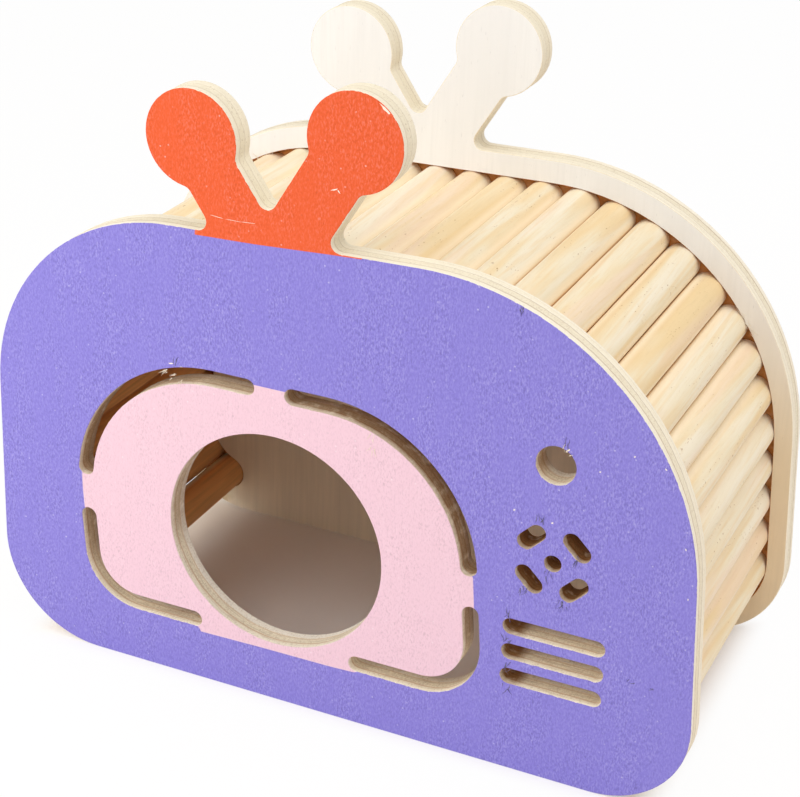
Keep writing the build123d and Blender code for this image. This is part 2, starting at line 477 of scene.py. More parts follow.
def groove_wood(plywood):
    """Wood in the groove, dark from the cutter's heat and from painted shade in the recess."""
    rgb = plywood.groove
    recipe = Recipe("groove_wood", roughness=0.85)
    place = recipe.stretch(recipe.millimetres(), 1.0, 0.5, 1.0)
    scorch_and_shade = recipe.noise(place, 0.35, detail=3.0, roughness=0.6)
    base = recipe.ramp(
        scorch_and_shade, [(0.3, shade(rgb, 0.55)), (0.5, shade(rgb)), (0.7, toward(rgb, plywood.edge, 0.15))]
    )
    return recipe.finish(base, recipe.bump(scorch_and_shade, 0.1))


def rod_wood(rods):
    """Sanded softwood: broad soft stains along the rod, fine fibres and rows of short pores, with painted
    light beside each neighbour, painted shade on the contact lines and painted warm shade on the inner
    side.
    """
    recipe = Recipe("rod_wood", roughness=0.62)
    grain = recipe.attribute("grain", "Vector")

    def noise_along(share, per_mm, **settings):
        """Noise drawn out along the rod, with its length there scaled by one over the share."""
        return recipe.noise(recipe.stretch(grain, 1.0, share, 1.0), per_mm, **settings)

    pale, tan = rods.pale, rods.tan
    stain = noise_along(0.07, 0.17, roughness=0.55, distortion=0.5)
    lean = recipe.math("SUBTRACT", recipe.attribute("tone"), 0.5)
    base = recipe.ramp(
        recipe.math("ADD", stain, recipe.times(lean, 0.14)),
        [
            (0.34, toward(pale, WHITE, 0.16)),
            (0.46, shade(pale)),
            (0.55, toward(pale, tan, 0.6)),
            (0.66, shade(tan)),
        ],
    )
    warmth = noise_along(0.10, 0.12, detail=1.0)
    streaks = noise_along(0.035, 0.8, distortion=0.3)
    fibres = noise_along(0.05, 2.4, roughness=0.6)
    base = recipe.lay(base, shade(rods.blush), recipe.band(warmth, 0.50, 0.66), 0.6)
    base = recipe.lay(base, shade(tan), recipe.band(streaks, 0.46, 0.72), 0.5)
    base = recipe.lay(base, shade(tan, 0.85), recipe.band(fibres, 0.5, 0.75), 0.22)

    reach = recipe.add("VectorMath", operation="LENGTH")
    recipe.feed(reach.inputs[0], recipe.stretch(grain, 1.0, 0.0, 1.0))
    bend = noise_along(0.35, 0.10, detail=1.0)
    ring = recipe.math("ADD", reach.outputs["Value"], recipe.times(bend, 9.0))
    ring = recipe.math("FRACT", recipe.times(ring, 0.4))
    in_row = recipe.times(recipe.band(ring, 0.34, 0.44), recipe.band(ring, 0.66, 0.56))
    pores = noise_along(0.4, 2.3, detail=1.0)
    patches = noise_along(0.5, 0.10, detail=1.0)
    marks = recipe.times(recipe.band(pores, 0.64, 0.72), recipe.band(patches, 0.47, 0.56))
    in_row = recipe.math("ADD", recipe.times(in_row, 0.8), 0.1)
    base = recipe.lay(base, shade(rods.pore), marks, in_row, 0.7)

    contact = recipe.attribute("contact")
    # Painted light on the flanks beside each neighbouring rod, against the shade there
    base = recipe.lay(base, shade(rods.flank_painted_light), recipe.band(contact, 0.62, 0.92), 0.8)
    # Painted shade on the line where two rods meet
    base = recipe.lay(base, shade(rods.contact), recipe.band(contact, 0.94, 1.0), 0.9)
    # Painted warm shade on the side of each rod that faces the inside of the house
    painted_warm_shade = recipe.ramp(streaks, [(0.36, shade(rods.inner, 1.1)), (0.64, shade(rods.inner, 0.9))])
    base = recipe.lay(base, painted_warm_shade, recipe.band(recipe.attribute("inward"), 0.05, 0.45))
    normal = recipe.bump(fibres, 0.04)
    normal = recipe.bump(pores, 0.02, normal)
    return recipe.finish(base, normal)


def fibre_wood(name, rgb):
    """Raised fibre with fine pale and dark mottles."""
    recipe = Recipe(name, roughness=0.8)
    grain = recipe.noise(recipe.millimetres(), 2.5)
    base = recipe.ramp(grain, [(0.3, shade(rgb, 0.8)), (0.7, toward(rgb, WHITE, 0.2))])
    return recipe.finish(base, recipe.bump(grain, 0.05))


# Outlines read from the CAD frame

SAME_PLACE = 0.001
FEWEST_POINTS = 12


def face_loops(node, depth):
    """Loops round the flat faces of a node at one depth, as (x, z) with wood on the left."""
    shape = bmesh.new()
    shape.from_mesh(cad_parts[node].data)
    bmesh.ops.remove_doubles(shape, verts=shape.verts, dist=SAME_PLACE * MM)
    flat = [
        face for face in shape.faces
        if all(abs(vert.co.y / MM - depth) < SAME_PLACE for vert in face.verts)
    ]
    in_flat = set(flat)
    following = {}
    for face in flat:
        for corner in face.loops:
            beyond = [other for other in corner.edge.link_faces if other is not face]
            if beyond[0] not in in_flat:
                following[corner.vert] = corner.link_loop_next.vert
    looks_back = flat[0].normal.y > 0
    loops = []
    while following:
        start, here = next(iter(following.items()))
        del following[start]
        loop = [start]
        while here is not start:
            loop.append(here)
            here = following.pop(here)
        points = np.array([(vert.co.x / MM, vert.co.z / MM) for vert in loop])
        loops.append(points[::-1] if looks_back else points)
    shape.free()
    return sorted(loops, key=lambda points: -np.ptp(points, axis=0).sum())


def even_loop(points, step):
    """Closed loop with points at an even step."""
    closed = np.vstack([points, points[:1]])
    reach = np.concatenate([[0.0], np.cumsum(np.hypot(*np.diff(closed, axis=0).T))])
    count = max(FEWEST_POINTS, round(reach[-1] / step))
    places = np.linspace(0.0, reach[-1], count, endpoint=False)
    return np.column_stack([np.interp(places, reach, closed[:, axis]) for axis in (0, 1)])


def into_wood(points):
    """Unit vectors at each point of a loop that lead into the wood."""
    along = np.roll(points, -1, axis=0) - np.roll(points, 1, axis=0)
    left = np.column_stack([-along[:, 1], along[:, 0]])
    return left / np.hypot(*left.T)[:, None]


def inside(places, loops):
    """Whether each place lies inside the loops, where a loop in a loop is a hole."""
    crossings = np.zeros(len(places), int)
    for loop in loops:
        ends = np.roll(loop, -1, axis=0)
        for (x0, z0), (x1, z1) in zip(loop, ends):
            if z0 == z1:
                continue
            spans = (places[:, 1] < max(z0, z1)) & (places[:, 1] >= min(z0, z1))
            reached = x0 + (places[:, 1] - z0) * (x1 - x0) / (z1 - z0)
            crossings += spans & (reached > places[:, 0])
    return crossings % 2 == 1


# Painted areas on the front, as closed lines in millimetres

SCREEN_LEFT, SCREEN_RIGHT = -69.2, 40.1
SCREEN_BOTTOM, SCREEN_TOP = 17.8, 88.9
SCREEN_RIGHT_ANGLE, SCREEN_LEFT_ANGLE = 4.6, 183.8
SCREEN_LOWER_RADIUS = 13.6
SCREEN_UPPER_RIGHT_RADIUS, SCREEN_UPPER_LEFT_RADIUS = 39.0, 38.5
SCREEN_OVERLAP = 1.1
TONGUE = ((-38.5, 16.7), (-36.9, 15.2), (-36.4, 14.3), (-18.8, 14.7), (1.6, 14.9), (8.5, 15.2), (9.6, 16.7))
ANTENNA_LINE = ((-36.1, 131.2), (-36.1, 126.2), (-19.7, 126.8), (0.1, 128.0), (8.0, 128.4))
ABOVE_ANTENNAE = ((45.0, 175.0), (-75.0, 175.0), (-75.0, 150.0))


def arc(centre, radius, first, last, steps=16):
    """Points on an arc, with angles in degrees."""
    angles = np.radians(np.linspace(first, last, steps))
    return np.column_stack(
        [centre[0] + radius * np.cos(angles), centre[1] + radius * np.sin(angles)]
    )


def side_beside(centre, radius, angle):
    """Side with an outward angle that touches a circle, as (angle, distance)."""
    turn = math.radians(angle)
    return angle, centre[0] * math.cos(turn) + centre[1] * math.sin(turn) + radius


def corner_centre(first, second, radius):
    """Centre of the arc that touches two sides, each as (outward angle, distance)."""
    turns = [math.radians(angle) for angle, _ in (first, second)]
    normals = [(math.cos(turn), math.sin(turn)) for turn in turns]
    return np.linalg.solve(normals, [first[1] - radius, second[1] - radius])


def screen_area():
    """Pink area: a little outside the middle of the screen slots, with a tongue at the bottom."""
    low = SCREEN_LOWER_RADIUS
    lower_right = (SCREEN_RIGHT - low, SCREEN_BOTTOM + low)
    lower_left = (SCREEN_LEFT + low, SCREEN_BOTTOM + low)
    right = side_beside(lower_right, low, SCREEN_RIGHT_ANGLE)
    left = side_beside(lower_left, low, SCREEN_LEFT_ANGLE)
    top = (90.0, SCREEN_TOP)
    upper_right = corner_centre(right, top, SCREEN_UPPER_RIGHT_RADIUS)
    upper_left = corner_centre(top, left, SCREEN_UPPER_LEFT_RADIUS)
    return np.vstack([
        TONGUE,
        arc(lower_right, low + SCREEN_OVERLAP, -90, SCREEN_RIGHT_ANGLE),
        arc(upper_right, SCREEN_UPPER_RIGHT_RADIUS + SCREEN_OVERLAP, SCREEN_RIGHT_ANGLE, 90),
        arc(upper_left, SCREEN_UPPER_LEFT_RADIUS + SCREEN_OVERLAP, 90, SCREEN_LEFT_ANGLE),
        arc(lower_left, low + SCREEN_OVERLAP, SCREEN_LEFT_ANGLE, 270),
    ])


def antenna_area():
    """Orange area: everything above a slightly tilted line."""
    return np.array([*ANTENNA_LINE, *ABOVE_ANTENNAE])


CHIP_POINTS = 14
CHIP_SWELL = (0.65, 1.25)

# Each chip is its place, length, width, turn in degrees and seed
CHIPS = (
    ((0.9, 144.1), 1.9, 0.32, 20, 1),
    ((2.0, 143.8), 0.9, 0.3, -50, 2),
    ((13.2, 165.1), 3.4, 0.7, -38, 3),
    ((-30.0, 131.85), 4.2, 0.11, -5, 10),
    ((-25.7, 131.7), 4.2, 0.1, 0, 11),
    ((-21.6, 131.9), 4.0, 0.11, 4, 12),
    ((61.4, 92.0), 1.0, 0.5, 40, 4),
    ((49.1, 73.2), 0.5, 0.4, 0, 5),
    ((58.7, 72.2), 0.55, 0.4, 30, 6),
    ((77.1, 94.1), 0.55, 0.45, 60, 7),
    ((69.3, 88.3), 0.5, 0.4, 10, 13),
    ((84.6, 92.7), 0.7, 0.35, -50, 14),
    ((91.0, 73.7), 0.6, 0.3, -75, 15),
    ((92.7, 61.0), 0.6, 0.3, -80, 16),
    ((-43.6, 90.6), 1.4, 0.4, 10, 8),
    ((-40.9, 90.0), 1.0, 0.35, -20, 9),
)


def chip(place, length_mm, width_mm, turn, seed):
    """Ragged outline of a spot where the paint has come off."""
    dice = random.Random(seed)
    cosine, sine = math.cos(math.radians(turn)), math.sin(math.radians(turn))
    points = []
    for step in range(CHIP_POINTS):
        angle = math.tau * step / CHIP_POINTS
        swell = dice.uniform(*CHIP_SWELL)
        along = math.cos(angle) * length_mm / 2 * swell
        across = math.sin(angle) * width_mm / 2 * swell
        points.append((
            place[0] + along * cosine - across * sine,
            place[1] + along * sine + across * cosine,
        ))
    return np.array(points)


def paint_chips():
    """Spots without paint: flecks on the antennae, at the rims, and small dots on the cabinet."""
    return [chip(*spot) for spot in CHIPS]


# Panels

PAINT_SLOTS = {
    "cabinet": 0, "screen": 1, "antenna": 2, "edge": 3, "veneer": 4, "routed": 5, "groove": 6,
}
CDT_TOLERANCE = 0.0001
WALL_ROWS, GROOVE_ROWS = 15, 8
PAINTED_ROWS = 3
PAINT_BLEED, BLEED_RATE, BLEED_LEVEL = 1.4, 0.8, 5.0
ROUGH_ALONG, ROUGH_THROUGH = 0.9, 1.7
RIM_TURNS = (0, 22, 45, 68, 90)
CORE_FROM, CORE_TO = 0.3, 0.62
BELOW_FLOOR = -5.0
ON_FACE = 0.01

# Points scattered over a flat face, with the shift and the least gap as shares of the spacing
CAP_SPACING, CAP_SEED = 3.2, 7
CAP_SHIFT, CAP_GAP = 0.25, 0.45
RIM_PORTION = 400

BURN_AND_SHADE_RISE = 2.5

# Each browned place is x, z, reach and the share of the browning in its middle. The browning is partly burn
# and partly painted shade inside the cut-outs
BURN_AND_SHADE_PLACES = (
    (-63.0, 63.0, 22.0, 0.8),
    (-45.0, 84.0, 12.0, 0.5),
    (-28.0, 89.0, 12.0, 0.3),
    (-5.0, 89.0, 14.0, 0.8),
    (12.0, 88.0, 18.0, 0.9),
    (30.0, 76.0, 20.0, 0.9),
    (39.0, 60.0, 16.0, 0.8),
    (-44.0, 60.0, 24.0, 0.55),
    (59.5, 61.3, 17.0, 1.3),
    (54.6, 88.6, 6.0, 0.8),
    (49.2, 41.6, 5.4, 1.1),
    (49.2, 34.5, 5.4, 1.1),
    (49.2, 27.4, 5.4, 1.1),
    (-68.0, 40.0, 17.0, 0.6),
    (-44.0, 20.5, 5.0, 1.0),
    (37.5, 42.0, 14.0, 0.6),
)


def burn_and_shade_at(x, z):
    """Share of the browning, burn and painted shade together, at (x, z)."""
    return max(
        share * min(1.0, max(0.0, BURN_AND_SHADE_RISE * (1 - math.hypot(x - at_x, z - at_z) / reach)))
        for at_x, at_z, reach, share in BURN_AND_SHADE_PLACES
    )


def rounded_profile(depth_from, depth_to, radius, rows):
    """Rows from one face to the other as (inset, depth), with both rims rounded."""
    way = math.copysign(1.0, depth_to - depth_from)
    turns = [math.radians(angle) for angle in RIM_TURNS]
    entry = [
        (radius * (1 - math.sin(turn)), depth_from + way * radius * (1 - math.cos(turn)))
        for turn in turns
    ]
    leave = [(inset, depth_from + depth_to - depth) for inset, depth in reversed(entry)]
    wall = np.linspace(entry[-1][1], leave[0][1], rows)[1:-1]
    return entry + [(0.0, depth) for depth in wall] + leave


def core_relief(share, relief):
    """How far the wall lies back into the wood at a share of the thickness."""
    return relief if CORE_FROM < share < CORE_TO else 0.0


def join_rings(mesh, near, far):
    """Smooth faces between two rings with as many vertices each."""
    faces = []
    for side in range(len(near)):
        after = (side + 1) % len(near)
        face = mesh.faces.new((near[side], near[after], far[after], far[side]))
        face.smooth = True
        faces.append(face)
    return faces


def close_tube(mesh, rings):
    """Smooth tube along a row of rings, with a flat face at both ends."""
    for near, far in zip(rings, rings[1:]):
        join_rings(mesh, near, far)
    mesh.faces.new(rings[0])
    mesh.faces.new(rings[-1])


def one_slot(name):
    """Slot finder that gives every place the same material."""
    return lambda places: [PAINT_SLOTS[name]] * len(places)


class PanelMaker:
    """Builds one panel in mesh code from the loops of its CAD node."""

    def __init__(self, node, outer, inner, settings):
        self.node = node
        self.outer = outer
        self.inner = inner
        self.settings = settings
        self.floor = inner + math.copysign(GROOVE_DEPTH, outer - inner)
        self.mesh = bmesh.new()
        layers = self.mesh.verts.layers.float
        self.share = layers.new("ply_share")
        self.shelter = layers.new("shelter")
        self.burn = layers.new("burn")

    def share_at(self, depth):
        """How far a depth lies through the panel, from 0 at its outer face to 1."""
        return (depth - self.outer) / (self.inner - self.outer)

    def vertex(self, x, depth, z):
        vert = self.mesh.verts.new((x * MM, depth * MM, z * MM))
        vert[self.share] = self.share_at(depth)
        return vert

    def wall(self, points, profile, relief, slot, painted_rows=0):
        """Strip of faces round a loop. Gives the rings at both ends as (points, vertices)."""
        normals = into_wood(points)
        middles = (points + np.roll(points, -1, axis=0)) / 2
        paint = paint_slots_at(middles) if painted_rows else None
        burn_and_shade_shares = [burn_and_shade_at(x, z) for x, z in points]
        rows = []
        for inset, depth in profile:
            back = inset + core_relief(self.share_at(depth), relief)
            row = []
            for (x, z), (nx, nz), burn in zip(points, normals, burn_and_shade_shares):
                place = Vector((x * ROUGH_ALONG, depth * ROUGH_THROUGH, z * ROUGH_ALONG))
                here = back + (noise.noise(place) * relief if inset == 0.0 else 0.0)
                row.append(self.vertex(x + nx * here, depth, z + nz * here))
                row[-1][self.burn] = burn
            rows.append(row)
        bleed = [
            round(PAINT_BLEED * noise.noise(Vector((x * BLEED_RATE, BLEED_LEVEL, z * BLEED_RATE))))
            for x, z in points
        ]
        for index, (near, far) in enumerate(zip(rows, rows[1:])):
            for column, face in enumerate(join_rings(self.mesh, near, far)):
                painted = paint is not None and index < painted_rows + bleed[column]
                face.material_index = paint[column] if painted else PAINT_SLOTS[slot]
        return [(points + normals * profile[end][0], rows[end]) for end in (0, -1)]

    def cap(self, rings, depth, lines, slot_finder):
        """Flat face between rings, cut along the given lines."""
        loops = [points for points, _ in rings]
        rim = np.vstack(loops)
        rim_verts = [vert for _, row in rings for vert in row]
        edges = []
        count = 0
        for line in loops + lines:
            edges += closed_edges(count, len(line))
            count += len(line)
        places = np.vstack(loops + lines + [scattered(rim, loops)])
        flat = [Vector(place) for place in places]
        found, _, triangles, origins, _, _ = delaunay_2d_cdt(flat, edges, [], 0, CDT_TOLERANCE)
        found = np.array(found)
        triangles = np.array([triangle for triangle in triangles if len(triangle) == 3])
        middles = found[triangles].mean(axis=1)
        kept = inside(middles, loops)
        slots = slot_finder(middles)
        verts = {}
        for triangle, keep, slot in zip(triangles, kept, slots):
            if not keep:
                continue
            corners = []
            for index in triangle:
                if index not in verts:
                    rim_index = min(origins[index], default=len(rim_verts))
                    if rim_index < len(rim_verts):
                        verts[index] = rim_verts[rim_index]
                    else:
                        x, z = found[index]
                        verts[index] = self.vertex(x, depth, z)
                corners.append(verts[index])
            face = self.mesh.faces.new(corners)
            face.material_index = slot

    def build(self, lines, outer_slots, painted_rows):
        """Both faces, every wall and the groove, as one closed mesh."""
        plywood = self.settings
        step = plywood.edge_step / MM
        radius = plywood.rounding / MM
        relief = plywood.relief / MM
        outer_rings = []
        inner_rings = []
        profile = rounded_profile(self.outer, self.inner, radius, WALL_ROWS)
        for index, loop in enumerate(face_loops(self.node, self.outer)):
            slot = "routed" if index else "edge"
            first, last = self.wall(even_loop(loop, step), profile, relief, slot, painted_rows)
            outer_rings.append(first)
            inner_rings.append(last)
        groove = face_loops(self.node, self.floor)[0][::-1]
        profile = rounded_profile(self.inner, self.floor, radius / 2, GROOVE_ROWS)
        profile = profile[:len(profile) // 2] + [(0.0, self.floor)]
        first, last = self.wall(even_loop(groove, step), profile, relief / 3, "groove")
        inner_rings.append(first)
        self.cap(outer_rings, self.outer, lines, outer_slots)
        self.cap(inner_rings, self.inner, [], one_slot("veneer"))
        self.cap([last], self.floor, [], one_slot("groove"))
        self.mark_arch_shade()
        bmesh.ops.recalc_face_normals(self.mesh, faces=self.mesh.faces)
        return self.mesh

    def mark_arch_shade(self):
        """Mark the part of the inner face that lies inside the arch of rods, where painted warm shade is
        laid.
        """
        verts = [vert for vert in self.mesh.verts if abs(vert.co.y / MM - self.inner) < ON_FACE]
        places = np.array([(vert.co.x / MM, vert.co.z / MM) for vert in verts])
        for vert, within in zip(verts, inside(places, [arch_of_rods()])):
            vert[self.shelter] = float(within)


def arch_of_rods():
    """Closed line through the middles of all rods and down to the floor."""
    middles = [rod_centre(node) for node in ROD_NODES]
    feet = [(middles[-1].x, BELOW_FLOOR), (middles[0].x, BELOW_FLOOR)]
    return np.array([(middle.x, middle.z) for middle in middles] + feet)


def closed_edges(start, count):
    """Index pairs round a closed loop."""
    return [(start + index, start + (index + 1) % count) for index in range(count)]


def scattered(rim, loops):
    """Points over the wood, a few millimetres apart and clear of every rim."""
    low, high = rim.min(axis=0), rim.max(axis=0)
    dice = np.random.default_rng(CAP_SEED)
    xs, zs = np.meshgrid(
        np.arange(low[0], high[0], CAP_SPACING), np.arange(low[1], high[1], CAP_SPACING)
    )
    places = np.column_stack([xs.ravel(), zs.ravel()])
    places += dice.uniform(-CAP_SHIFT, CAP_SHIFT, places.shape) * CAP_SPACING
    gap = np.full(len(places), np.inf)
    for start in range(0, len(rim), RIM_PORTION):
        away = places[:, None, :] - rim[None, start:start + RIM_PORTION, :]
        gap = np.minimum(gap, np.hypot(away[..., 0], away[..., 1]).min(axis=1))
    places = places[gap > CAP_SPACING * CAP_GAP]
    return places[inside(places, loops)]


def paint_slots_at(places):
    """Material slot of each place on the painted face."""
    slots = np.full(len(places), PAINT_SLOTS["cabinet"])
    slots[inside(places, [screen_area()])] = PAINT_SLOTS["screen"]
    slots[inside(places, [antenna_area()])] = PAINT_SLOTS["antenna"]
    for outline in paint_chips():
        slots[inside(places, [outline])] = PAINT_SLOTS["veneer"]
    return slots


def add_object(name, data):
    """New object in the scene."""
    made = bpy.data.objects.new(name, data)
    bpy.context.scene.collection.objects.link(made)
    return made


def mesh_object(name, mesh, materials):
    """New object for a finished mesh."""
    data = bpy.data.meshes.new(name)
    mesh.to_mesh(data)
    mesh.free()
    for material in materials:
        data.materials.append(material)
    return add_object(name, data)


def add_piece(name, mesh, materials, slot, *nodes):
    """Piece that rides on the house, with the given CAD nodes hidden, if any."""
    piece = mesh_object(name, mesh, materials)
    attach(piece, "root")
    if nodes:
        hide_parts(*nodes)


def panel_materials(scene):
    """Materials in the order of PAINT_SLOTS, made once and shared by both panels."""
    paint, plywood = scene.rodent_house_paint, scene.rodent_house_plywood
    made = bpy.data.materials
    if "cabinet_paint" not in made:
        for area in PAINT_DEPTHS:
            matte_paint(area, paint)
        ply_edge("plywood_edge", plywood, 0.0)
        bare_veneer(plywood)
        ply_edge("routed_edge", plywood, ROUTED_BURN_AND_SHADE)
        groove_wood(plywood)
    names = (
        "cabinet_paint", "screen_paint", "antenna_paint", "plywood_edge", "pale_veneer",
        "routed_edge", "groove_wood",
    )
    return [made[name] for name in names]


class RODENTHOUSE_OT_front_panel(bpy.types.Operator):
    """Build the painted front panel with its door, slots and groove"""

    bl_idname = "rodent_house.front_panel"
    bl_label = "Front panel"

    def execute(self, context):
        scene = context.scene
        maker = PanelMaker("front_panel", FRONT_FACE, FRONT_INNER_FACE, scene.rodent_house_plywood)
        lines = [screen_area(), antenna_area()] + paint_chips()
        mesh = maker.build(lines, paint_slots_at, PAINTED_ROWS)
        add_piece("front_plywood", mesh, panel_materials(scene), "painted_front", "front_panel")
        return {"FINISHED"}


class RODENTHOUSE_OT_rear_panel(bpy.types.Operator):
    """Build the bare rear panel with its groove"""

    bl_idname = "rodent_house.rear_panel"
    bl_label = "Rear panel"

    def execute(self, context):
        scene = context.scene
        maker = PanelMaker("rear_panel", REAR_FACE, REAR_INNER_FACE, scene.rodent_house_plywood)
        mesh = maker.build([], one_slot("veneer"), 0)
        add_piece("rear_plywood", mesh, panel_materials(scene), "bare_rear", "rear_panel")
        return {"FINISHED"}


# Rods

ROW_STEP = 2.0
END_TURNS = (0, 30, 60, 90)
ARCH_MIDDLE = 45.0
WAVE_ROUND, WAVE_ALONG = 1.3, 0.045
MOST_TILT = 0.045
PITH_REACH = (9, 45)
SEED_BASE, MOST_SHIFT = 40, 500

# Every rod but the last is a little fuller, by a multiple of the waviness
LAST_ROD = "rod_34"
FULLNESS, LAST_FULLNESS = 1.25, 0.0


def rod_rows(half, rounding):
    """Rows along a rod as (place, inset of the radius), with rounded ends."""
    turns = [math.radians(angle) for angle in END_TURNS]
    entry = [
        (-half + rounding * (1 - math.cos(turn)), rounding * (1 - math.sin(turn)))
        for turn in turns
    ]
    count = round(2 * half / ROW_STEP)
    middle = [(place, 0.0) for place in np.linspace(entry[-1][0], -entry[-1][0], count)[1:-1]]
    leave = [(-place, inset) for place, inset in reversed(entry)]
    return entry + middle + leave


def rod_centre(node):
    """Middle of a rod, in millimetres."""
    return sum(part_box(node), Vector()) / 2 / MM


def rod_mesh(node, beside, rods, dice):
    """One rod, a little out of round, with the coordinates that its grain follows."""
    low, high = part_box(node)
    centre = rod_centre(node)
    neighbours = [(rod_centre(other) - centre).normalized() for other in beside]
    radius = (high.x - low.x) / 2 / MM
    half = (high.y - low.y) / 2 / MM
    mesh = bmesh.new()
    grain = mesh.verts.layers.float_vector.new("grain")
    tone, inward, contact = [
        mesh.verts.layers.float.new(name) for name in ("tone", "inward", "contact")
    ]
    to_middle = (Vector((0.0, 0.0, ARCH_MIDDLE)) - centre * Vector((1.0, 0.0, 1.0))).normalized()
    seed = dice.uniform(0, MOST_SHIFT)
    pith_angle = dice.uniform(0, math.tau)
    pith_reach = dice.uniform(*PITH_REACH)
    tilt = dice.uniform(-MOST_TILT, MOST_TILT), dice.uniform(-MOST_TILT, MOST_TILT)
    rod_tone = dice.random()
    waviness = rods.waviness / MM
    fullness = LAST_FULLNESS if node == LAST_ROD else FULLNESS
    rings = []
    for place, inset in rod_rows(half, rods.end_rounding / MM):
        ring = []
        for side in range(rods.sides):
            angle = math.tau * side / rods.sides
            x, z = math.cos(angle), math.sin(angle)
            swell = Vector((x * WAVE_ROUND, place * WAVE_ALONG, z * WAVE_ROUND + seed))
            reach = radius - inset + (noise.noise(swell) + fullness) * waviness
            vert = mesh.verts.new((
                (centre.x + x * reach) * MM, (centre.y + place) * MM, (centre.z + z * reach) * MM
            ))
            vert[grain] = (
                x * radius + math.cos(pith_angle) * pith_reach + tilt[0] * place,
                place + seed,
                z * radius + math.sin(pith_angle) * pith_reach + tilt[1] * place,
            )
            vert[tone] = rod_tone
            # Weights for painted light and shade: how far a side faces the inside of the house, and how
            # near it faces a neighbouring rod
            vert[inward] = x * to_middle.x + z * to_middle.z
            vert[contact] = max(x * way.x + z * way.z for way in neighbours)
            ring.append(vert)
        rings.append(ring)
    close_tube(mesh, rings)
    bmesh.ops.recalc_face_normals(mesh, faces=mesh.faces)
    return mesh


class RODENTHOUSE_OT_rods(bpy.types.Operator):
    """Build the row of wooden rods, each with its own grain"""

    bl_idname = "rodent_house.rods"
    bl_label = "Rods"

    def execute(self, context):
        rods = context.scene.rodent_house_rods
        material = rod_wood(rods)
        for number, node in enumerate(ROD_NODES, start=1):
            dice = random.Random(SEED_BASE + number)
            beside = ROD_NODES[max(0, number - 2):number - 1] + ROD_NODES[number:number + 1]
            mesh = rod_mesh(node, beside, rods, dice)
            add_piece(f"wooden_rod_{number:02d}", mesh, [material], "bare_rod", node)
        return {"FINISHED"}


# Raised fibres and splinters

FIBRE_SEED = 11
FIBRE_STEPS, FIBRE_SIDES = 6, 5
FIBRE_TAPER = 0.85
FIBRE_FLATNESS = 0.6
MOST_HEADING, MOST_CURL = 28, 70
RISES, LENGTH_SHARES, WIDTH_SHARES = (1, 10), (0.5, 1.5), (0.6, 1.2)
SPREAD_IN_PAINT, SPREAD_ON_RIM, SPREAD_IN_GROOVE = 1.1, 0.9, 0.8

# Each tuft is its place, number of fibres, heading in degrees and size
PAINTED_TUFTS = (
    ((49.4, 43.4), 6, 80, 1.0),
    ((49.0, 37.4), 6, 80, 1.0),
    ((50.0, 30.2), 6, 260, 1.0),
    ((49.9, 23.6), 6, 260, 1.0),
    ((55.7, 71.4), 5, 80, 1.0),
    ((52.6, 52.6), 6, 265, 1.0),
    ((62.8, 51.6), 6, 260, 1.0),
    ((64.6, 64.2), 4, 260, 1.0),
    ((58.9, 58.4), 4, 265, 1.0),
    ((60.4, 92.8), 4, 85, 1.0),
    ((-43.0, 91.3), 4, 95, 1.0),
    ((47.2, 123.9), 3, 300, 1.0),
    ((81.3, 35.0), 2, 200, 1.0),
    ((86.7, 34.2), 2, 200, 1.0),
)
RIM_TUFTS = (
    ((60.9, 91.3), 5, 60, 0.7),
    ((-45.2, 88.2), 4, 215, 0.9),
    ((-42.6, 87.2), 4, 230, 0.9),
    ((-40.4, 86.6), 3, 250, 0.8),
    ((11.6, 83.6), 3, 260, 0.9),
    ((12.4, 80.6), 3, 260, 0.9),
)
GROOVE_TUFTS = (
    ((77.6, 95.6), 5, 140, 2.0),
    ((79.6, 93.0), 5, 150, 1.8),
    ((81.2, 90.8), 4, 120, 1.6),
    ((-64.6, 113.2), 5, 100, 1.8),
    ((-62.8, 114.4), 4, 70, 1.6),
)


def add_fibre(mesh, start, heading, rise, size, width, curl):
    """Thin tapered strand, with its size and width in millimetres and its angles in degrees."""
    heading, rise, curl = math.radians(heading), math.radians(rise), math.radians(curl)
    centre = Vector(start)
    rings = []
    for step in range(FIBRE_STEPS + 1):
        share = step / FIBRE_STEPS
        turn = heading + curl * share
        way = Vector((
            math.cos(turn) * math.cos(rise), -math.sin(rise), math.sin(turn) * math.cos(rise)
        ))
        side = way.cross(Vector((0.0, 1.0, 0.0))).normalized()
        up = side.cross(way).normalized()
        thick = width / 2 * (1 - FIBRE_TAPER * share)
        angles = [corner * math.tau / FIBRE_SIDES for corner in range(FIBRE_SIDES)]
        rings.append([
            mesh.verts.new((
                centre + side * thick * math.cos(angle)
                + up * thick * FIBRE_FLATNESS * math.sin(angle)
            ) * MM)
            for angle in angles
        ])
        centre = centre + way * (size / FIBRE_STEPS)
    close_tube(mesh, rings)


def add_tufts(mesh, tufts, depth, spread, wear, dice):
    """Several fibres round each place, raised from a face at the given depth."""
    for (x, z), count, heading, size in tufts:
        for _ in range(count):
            add_fibre(
                mesh,
                (x + dice.uniform(-spread, spread), depth, z + dice.uniform(-spread, spread)),
                heading + dice.uniform(-MOST_HEADING, MOST_HEADING),
                dice.uniform(*RISES),
                wear.fibre_length / MM * size * dice.uniform(*LENGTH_SHARES),
                wear.fibre_width / MM * dice.uniform(*WIDTH_SHARES),
                dice.uniform(-MOST_CURL, MOST_CURL),
            )


